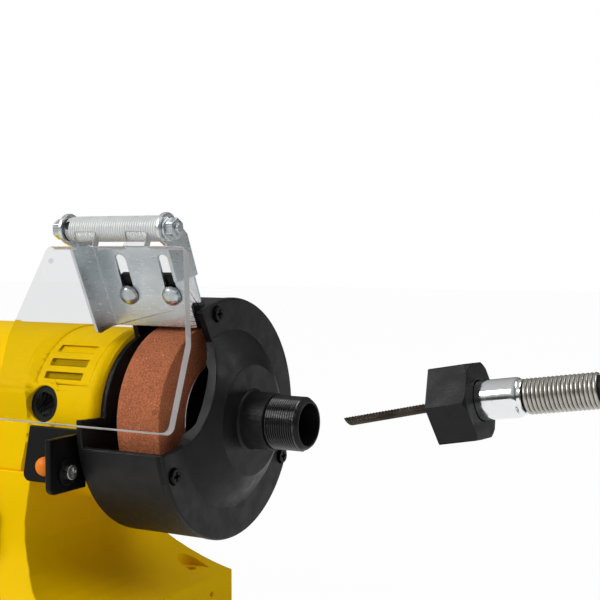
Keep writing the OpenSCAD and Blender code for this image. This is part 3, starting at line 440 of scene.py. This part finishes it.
def wire_outline(radius, away, sides=8):
    """Round section of a wire whose middle is away from the axis."""
    turns = [math.tau * k / sides for k in range(sides)]
    return [(radius * math.cos(a), away + radius * math.sin(a)) for a in turns]


def from_axis(point):
    """How far, and which way, a point lies from the spindle's axis."""
    return Vector((0, point.y - AXIS.y, point.z - AXIS.z))


def tilted(degrees):
    """Direction of the flexible shaft's pieces, which rise as they leave the grinder."""
    a = math.radians(degrees)
    return Vector((math.cos(a), 0, math.sin(a)))


# ---- pieces whose solids only need rounded edges ----

# Width of the rounding of each, in millimetres
ROUNDED = {
    "housing_base": 0.5, "base_plate": 0.3, "feet": 0.5, "housing_screws": 0.15,
    "cable_gland": 0.4, "control_panel": 0.8, "switch_body": 0.4, "rocker": 0.4,
    "brush_holders": 0.3, "guard_drum": 0.45, "cover_screws": 0.18, "guard_screws": 0.2,
    "rest_bracket": 0.45, "rest_screw": 0.18, "rest_washer": 0.25, "rest_nut": 0.2,
    "bracket_nuts": 0.25, "hinge_bolt": 0.25, "hinge_nut": 0.25, "hinge_washers": 0.25,
    "shield_bracket": 0.3, "grinding_wheel": 0.7, "inner_flange_left": 0.4,
    "inner_flange_right": 0.4, "outer_flange_left": 0.5, "spindle_nut_left": 0.35,
    "spindle_nut_right": 0.35, "polishing_wheel": 0.5, "rest_knob": 0.25, "speed_dial": 0.25,
    "bracket_bolts": 0.15, "handpiece_grip": 0.15, "handpiece_nose": 0.12,
    "handpiece_collet": 0.12,
}

for name, width in ROUNDED.items():
    copy = merged(name)
    round_edges(copy, width)
    dress(name, copy)


POINTER_SIZE = (0.0009, 0.0004, 0.0045)
POINTER_DEPTH = 0.00005
POINTER_RISE = 0.0032


def make_dial_pointer():
    """White line on the front of the speed dial, from its middle towards its edge."""
    low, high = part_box("speed_dial")
    middle = (Vector(low) + Vector(high)) / 2
    bm = bmesh.new()
    bmesh.ops.create_cube(bm, size=1)
    bmesh.ops.scale(bm, vec=POINTER_SIZE, verts=bm.verts)
    place = Vector((middle.x, low[1] + POINTER_DEPTH, middle.z + POINTER_RISE))
    bmesh.ops.translate(bm, vec=place, verts=bm.verts)
    round_edges(bm, 0.1)
    finish_piece(bm, "dial_pointer", "dial", [white_paint])


make_dial_pointer()


# ---- upper half of the motor housing ----

MIDDLE_R = 0.0386       # largest radius of the rounder middle
MIDDLE_END = 0.0331     # and where it ends along the axis
TAPER = 0.0011          # how much smaller it gets towards its end
TAPER_FROM = 0.0288
TAPER_LENGTH = 0.0042
SKIN_R = 0.0352         # everything within this radius stays as it is
CROWN = 0.935           # height above the axis, as a share of the solid's
BOSS_FROM = 0.0305      # past this and below BOSS_TOP the shape stays as it is
BOSS_TOP = 0.014
FAN_CUTS = 36           # cuts through the axis, which let the skin bend


def louvre_floor_painted_shade(polygon):
    """Whether a face is the floor of a louvre in one of the bells."""
    middle = polygon.calc_center_median()
    away = from_axis(middle)
    return 0.035 < away.length < 0.0363 and 0.036 < abs(middle.x) < 0.056 and away.z > 0.015


def make_housing_top():
    """The moulded upper half: rounder in the middle and a little lower than its solid."""
    bm = merged("housing_top")
    for k in range(FAN_CUTS):
        a = math.pi * k / FAN_CUTS
        cut(bm, AXIS, (0, math.cos(a), math.sin(a)))
    # The louvre floors take the darker yellow as painted shade
    for polygon in bm.faces:
        polygon.material_index = 1 if louvre_floor_painted_shade(polygon) else 0
    for v in bm.verts:
        away = from_axis(v.co)
        if away.z <= 0 or away.length < SKIN_R:
            continue
        along = abs(v.co.x)
        boss = along > BOSS_FROM and away.z < BOSS_TOP
        most = MIDDLE_R - TAPER * min(max((along - TAPER_FROM) / TAPER_LENGTH, 0), 1)
        if along < MIDDLE_END and away.length > most and not boss:
            away *= most / away.length
        v.co.y, v.co.z = away.y, AXIS.z + away.z * (1 if boss else CROWN)
    # The edges about the end of the middle stay sharp
    round_edges(bm, 0.4, where=lambda e: not 0.028 < abs(e.verts[0].co.x) < 0.034)
    dress("housing_top", bm, [yellow_plastic, louvre_painted_shade], 30)


make_housing_top()


# ---- guard cover and its outlet nozzle ----

THREAD_START = 0.1253
THREAD_END = 0.1378
THREAD_PITCH = 0.98
THREAD_TURNS = 12.6
THREAD_ROOT = 9.95
THREAD_CREST = 10.6
NOZZLE_R = 0.01045      # of the solid where the thread is, drawn in under the ridge
UNDER_THREAD = 0.0099
BACK_X = 0.102          # the cover's back
BACK_DRAWN = 0.0023     # how far its inner edge is drawn towards the face by the opening


def thin_the_back(v):
    """Draws the back's inner edge out of sight above the opening."""
    if v.co.y < -0.005 and 0.118 < v.co.z < 0.1258 and v.co.x < 0.1042:
        v.co.x = max(v.co.x, BACK_X + BACK_DRAWN * min((-v.co.y - 0.005) / 0.008, 1))


def opening_edge_painted_shade(polygon):
    """Whether a face is the sawn edge of the cover round its opening."""
    middle = polygon.calc_center_median()
    inward = polygon.normal.x < 0.25 and polygon.normal.y < -0.4
    return inward and 0.1 < middle.x < 0.112 and middle.y < 0 and middle.z > 0.075


def make_guard_cover():
    """Domed cover with the stepped outlet nozzle, whose thread is a wound ridge."""
    bm = merged("guard_cover")
    for v in bm.verts:
        thin_the_back(v)
        away = from_axis(v.co)
        on_thread = THREAD_START - 0.0001 < v.co.x < THREAD_END
        if on_thread and abs(away.length - NOZZLE_R) < 0.0002:
            v.co -= away.normalized() * (away.length - UNDER_THREAD)
    bm.normal_update()
    # The sawn edge round the opening takes the darker black_metal as painted shade
    for polygon in bm.faces:
        polygon.material_index = 1 if opening_edge_painted_shade(polygon) else 0
    round_edges(bm, 0.3)
    dress("guard_cover", bm, [black_plastic, black_metal])

    profile = ridge_outline(THREAD_ROOT, THREAD_CREST, THREAD_PITCH)
    ridge = helix(profile, AXIS + Vector((THREAD_START, 0, 0)), (1, 0, 0), THREAD_TURNS,
                  THREAD_PITCH, 48)
    finish_piece(ridge, "nozzle_thread", "frame", [thread_plastic], 20)


make_guard_cover()


FLANGE_FACE = 0.0964
FLANGE_PROFILE = [
    (0, 5.1), (0, 22.4), (0.9, 22.4), (1.2, 22.3), (1.35, 22.05), (1.35, 21.8), (1.25, 21.6),
    (1.1, 21.5), (0.85, 21.3), (0.8, 20.8), (0.8, 9.6), (1.0, 9.1), (2.9, 9.0), (3.1, 8.7),
    (3.1, 5.1)]


def make_outer_flange():
    """Pressed steel flange: a bright rolled rim round a dish coloured dark as painted shade."""
    bm = turned(FLANGE_PROFILE, AXIS + Vector((FLANGE_FACE, 0, 0)), (1, 0, 0), 120)
    # The dish takes the darker black_metal as painted shade; the rim stays chrome
    for polygon in bm.faces:
        middle = polygon.calc_center_median()
        dish_in_painted_shade = 0.009 < from_axis(middle).length < 0.0213 and middle.x > FLANGE_FACE + 0.0005
        polygon.material_index = 1 if dish_in_painted_shade else 0
    dress("outer_flange_right", bm, [chrome, black_metal], 40, name="outer_flange_shown")


make_outer_flange()


# ---- eye shield ----

HINGE = Vector((0.0825, -0.042, 0.17))
SHIELD_TURN = Matrix.Rotation(math.radians(-19.55), 3, "X")
BARREL_START = Vector((-0.0215, 0, 0))
BARREL_RIBS = 40
RIB_PITCH = 1.07
RIB_ROOT, RIB_CREST, BARREL_INSIDE = 4.66, 4.86, 4.62
PIP_R = 0.0011
PIPS = {"shield_pip_left": (-26.8, -4.1, -14.2), "shield_pip_right": (34.7, -4.1, -69)}


def make_eye_shield():
    """Clear sheet, with a painted highlight on its sawn edges but for the left one, which faces
    away.
    """
    bm = merged("eye_shield")
    round_edges(bm, 0.5, 3)
    bm.normal_update()
    through = SHIELD_TURN @ Vector((0, 1, 0))
    # Sawn edges but the left one take the paler edge material as painted highlight
    for polygon in bm.faces:
        highlit_sawn_edge = abs(polygon.normal.dot(through)) < 0.95 and polygon.normal.x > -0.3
        polygon.material_index = 1 if highlit_sawn_edge else 0
    dress("eye_shield", bm, [clear_plastic, sawn_edge_and_highlight], 25)


def make_hinge_barrel():
    """Fine ribs round the barrel that the hinge bolt passes through."""
    profile = []
    for k in range(BARREL_RIBS):
        along = k * RIB_PITCH
        profile += [(along, RIB_ROOT), (along + 0.3, RIB_CREST), (along + 0.75, RIB_CREST),
                    (along + 1.04, RIB_ROOT)]
    profile += [(BARREL_RIBS * RIB_PITCH, BARREL_INSIDE), (0, BARREL_INSIDE)]
    bm = turned(profile, HINGE + BARREL_START, (1, 0, 0), 48)
    finish_piece(bm, "hinge_barrel", "shield", [barrel_plastic], 25)


def make_shield_pips():
    """Two small moulding pips on the sheet's front."""
    for name, place in PIPS.items():
        bm = bmesh.new()
        bmesh.ops.create_uvsphere(bm, u_segments=20, v_segments=10, radius=PIP_R)
        bmesh.ops.scale(bm, vec=(1, 0.6, 1), verts=bm.verts)
        bmesh.ops.translate(bm, vec=Vector(place) * MM, verts=bm.verts)
        bmesh.ops.rotate(bm, cent=(0, 0, 0), matrix=SHIELD_TURN, verts=bm.verts)
        bmesh.ops.translate(bm, vec=HINGE, verts=bm.verts)
        finish_piece(bm, name, "shield", [clear_plastic])


make_eye_shield()
make_hinge_barrel()
make_shield_pips()


# ---- flexible shaft's end pieces ----

MOUTH = Vector((0.1946, 0, 0.1059))
NUT_TILT, FERRULE_TILT, CORE_TILT = 10.5, 8.2, 12.7
SEAT = 13.8             # how far from the mouth the ferrule's axis crosses the nut's
FERRULE_ZERO = MOUTH + (tilted(NUT_TILT) - tilted(FERRULE_TILT)) * SEAT * MM
NUT_FLATS = 27.2
NUT_ACROSS = 15.6
NUT_TURN = 42
NUT_PROFILE = [(0.6, 7.5), (0, 8.2), (0, NUT_ACROSS), (14.2, NUT_ACROSS),
               (15.3, NUT_ACROSS - 1.3), (15.3, 7.5)]
FERRULE_PROFILE = [
    (8.5, 3.2), (8.5, 10.2), (11.7, 10.2), (11.7, 7.15), (28.9, 7.2), (29.6, 7.1), (30.1, 6.85),
    (30.4, 6.5), (30.5, 6.35), (30.9, 6.3), (31.7, 6.3), (31.9, 6.1), (32, 5.9), (32, 3.2)]
SPRING_START = 32.8
SPRING_TURNS = 17
SPRING_PITCH = 1.54
SPRING_WIRE_R = 0.76
SPRING_R = 5.64
CORE_R = 1.6
STRAND_DEPTH = 0.12
STRANDS = 8
CORE_TURNS = 6
CORE_OUT = 40.5         # from the nut's mouth to the core's free end, before its slanted cut
CORE_LENGTH = 61.5
CUT_AT = 1.6            # where the slanted cut crosses the core, and its slant in degrees
CUT_SLANT = 38
CORE_SIDES = 48
CORE_STEPS = 180


def make_union_nut():
    """Hexagon nut, chamfered at the back where the ferrule comes out."""
    axis = tilted(NUT_TILT)
    bm = turned(NUT_PROFILE, MOUTH, axis, 96)
    for k in range(6):
        turn = Matrix.Rotation(math.radians(60 * k + NUT_TURN), 3, axis)
        out = turn @ axis.orthogonal().normalized()
        cut(bm, MOUTH + out * NUT_FLATS / 2 * MM, out, clear=True)
    round_edges(bm, 0.25, above=28)
    dress("flex_nut", bm)


def make_ferrule_and_spring():
    """Plated ferrule with a rounded shoulder, and the wound spring that eases the bend."""
    axis = tilted(FERRULE_TILT)
    bm = turned(FERRULE_PROFILE, FERRULE_ZERO, axis, 96)
    round_edges(bm, 0.15, above=60)
    dress("flex_ferrule", bm)
    bm = helix(wire_outline(SPRING_WIRE_R, SPRING_R), FERRULE_ZERO + axis * SPRING_START * MM,
               axis, SPRING_TURNS, SPRING_PITCH, 32)
    dress("flex_spring", bm, [spring_steel], 60)


def make_core():
    """Twisted wire core with fluted strands, its free end cut at a slant."""
    axis = tilted(CORE_TILT)
    side = axis.orthogonal().normalized()
    other = axis.cross(side)
    start = MOUTH - axis * CORE_OUT * MM
    bm = bmesh.new()
    verts = []
    for k in range(CORE_SIDES):
        a = math.tau * k / CORE_SIDES
        r = CORE_R + STRAND_DEPTH * math.cos(STRANDS * a)
        verts.append(bm.verts.new(start + (side * math.cos(a) + other * math.sin(a)) * r * MM))
    edges = [bm.edges.new((verts[k - 1], verts[k])) for k in range(CORE_SIDES)]
    bmesh.ops.spin(bm, geom=verts + edges, cent=start, axis=axis,
                   dvec=axis * CORE_LENGTH * MM / CORE_STEPS, angle=math.tau * CORE_TURNS,
                   steps=CORE_STEPS)
    cut(bm, start + axis * CUT_AT * MM, -tilted(CORE_TILT + CUT_SLANT), clear=True)
    dress("flex_core", bm, [wire], 25)


make_union_nut()
make_ferrule_and_spring()
make_core()


# ---- studio ----

FLOOR_REACH = 4
FLOOR_GLOW = 0.975          # share of even white in the floor where it is seen
BRIGHT_SIDE = Vector((-0.8, -0.45, 0.4))
BRIGHT_SPREAD = (-0.8, 0.9) # how far to that side is dark, and how far is bright
ROOM_LEVELS = (0.07, 0.62)  # strength on the dark side and on the bright side
BAND = (0.16, 0.42)         # heights between which the room rises to its full strength
BELOW_BAND = 0.12           # share of its strength lower down


def seen_by(tree, kinds):
    """One where a ray of the given kinds looks, and zero elsewhere."""
    path = tree.nodes.new("ShaderNodeLightPath")
    total = path.outputs[kinds[0]]
    for kind in kinds[1:]:
        larger = tree.nodes.new("ShaderNodeMath")
        larger.operation = "MAXIMUM"
        tree.links.new(total, larger.inputs[0])
        tree.links.new(path.outputs[kind], larger.inputs[1])
        total = larger.outputs[0]
    return total


def spread(tree, value, start_stop, low_high, smooth=False):
    """Maps a value from one range to another and holds it at the ends."""
    node = tree.nodes.new("ShaderNodeMapRange")
    if smooth:
        node.interpolation_type = "SMOOTHSTEP"
    node.inputs["From Min"].default_value, node.inputs["From Max"].default_value = start_stop
    node.inputs["To Min"].default_value, node.inputs["To Max"].default_value = low_high
    tree.links.new(value, node.inputs["Value"])
    return node.outputs["Result"]


def make_floor():
    """Wide floor that looks evenly white and still takes shadows."""
    bm = bmesh.new()
    bmesh.ops.create_grid(bm, x_segments=1, y_segments=1, size=FLOOR_REACH)
    mesh = bpy.data.meshes.new("floor")
    bm.to_mesh(mesh)
    bm.free()
    floor = bpy.data.objects.new("floor", mesh)
    scene.collection.objects.link(floor)
    mat = bpy.data.materials.new("floor")
    mat.use_nodes = True
    tree = mat.node_tree
    tree.nodes.clear()
    out = tree.nodes.new("ShaderNodeOutputMaterial")
    diffuse = tree.nodes.new("ShaderNodeBsdfDiffuse")
    diffuse.inputs["Color"].default_value = grey(0.8)
    glow = tree.nodes.new("ShaderNodeEmission")
    seen = seen_by(tree, ("Is Camera Ray", "Is Glossy Ray", "Is Transmission Ray"))
    mix = tree.nodes.new("ShaderNodeMixShader")
    tree.links.new(spread(tree, seen, (0, 1), (0, FLOOR_GLOW)), mix.inputs["Fac"])
    tree.links.new(diffuse.outputs[0], mix.inputs[1])
    tree.links.new(glow.outputs[0], mix.inputs[2])
    tree.links.new(mix.outputs[0], out.inputs["Surface"])
    mesh.materials.append(mat)


def make_world():
    """White where it is seen, and otherwise a soft room that is brighter to the left and above."""
    world = bpy.data.worlds.new("studio")
    scene.world = world
    world.use_nodes = True
    tree = world.node_tree
    background = tree.nodes["Background"]
    background.inputs["Color"].default_value = grey(1)
    coords = tree.nodes.new("ShaderNodeTexCoord")
    lean = tree.nodes.new("ShaderNodeVectorMath")
    lean.operation = "DOT_PRODUCT"
    lean.inputs[1].default_value = BRIGHT_SIDE.normalized()
    tree.links.new(coords.outputs["Generated"], lean.inputs[0])
    height = tree.nodes.new("ShaderNodeSeparateXYZ")
    tree.links.new(coords.outputs["Generated"], height.inputs[0])
    room = spread(tree, lean.outputs["Value"], BRIGHT_SPREAD, ROOM_LEVELS)
    band = spread(tree, height.outputs["Z"], BAND, (BELOW_BAND, 1), smooth=True)
    dim = tree.nodes.new("ShaderNodeMath")
    dim.operation = "MULTIPLY"
    tree.links.new(room, dim.inputs[0])
    tree.links.new(band, dim.inputs[1])
    level = tree.nodes.new("ShaderNodeMix")
    seen = seen_by(tree, ("Is Camera Ray", "Is Transmission Ray"))
    tree.links.new(seen, level.inputs["Factor"])
    tree.links.new(dim.outputs[0], level.inputs["A"])
    level.inputs["B"].default_value = 1
    tree.links.new(level.outputs["Result"], background.inputs["Strength"])


def add_light(name, place, target, size, power):
    light = bpy.data.lights.new(name, "AREA")
    light.size = size
    light.energy = power
    lamp = bpy.data.objects.new(name, light)
    scene.collection.objects.link(lamp)
    lamp.location = place
    lamp.rotation_mode = "QUATERNION"
    lamp.rotation_quaternion = (Vector(target) - Vector(place)).to_track_quat("-Z", "Y")


make_floor()
make_world()
add_light("key", (-0.7, -0.95, 0.95), (0.06, 0, 0.1), 0.7, 13)
add_light("rim", (1.0, 0.5, 0.9), (0.1, 0, 0.1), 0.5, 4)
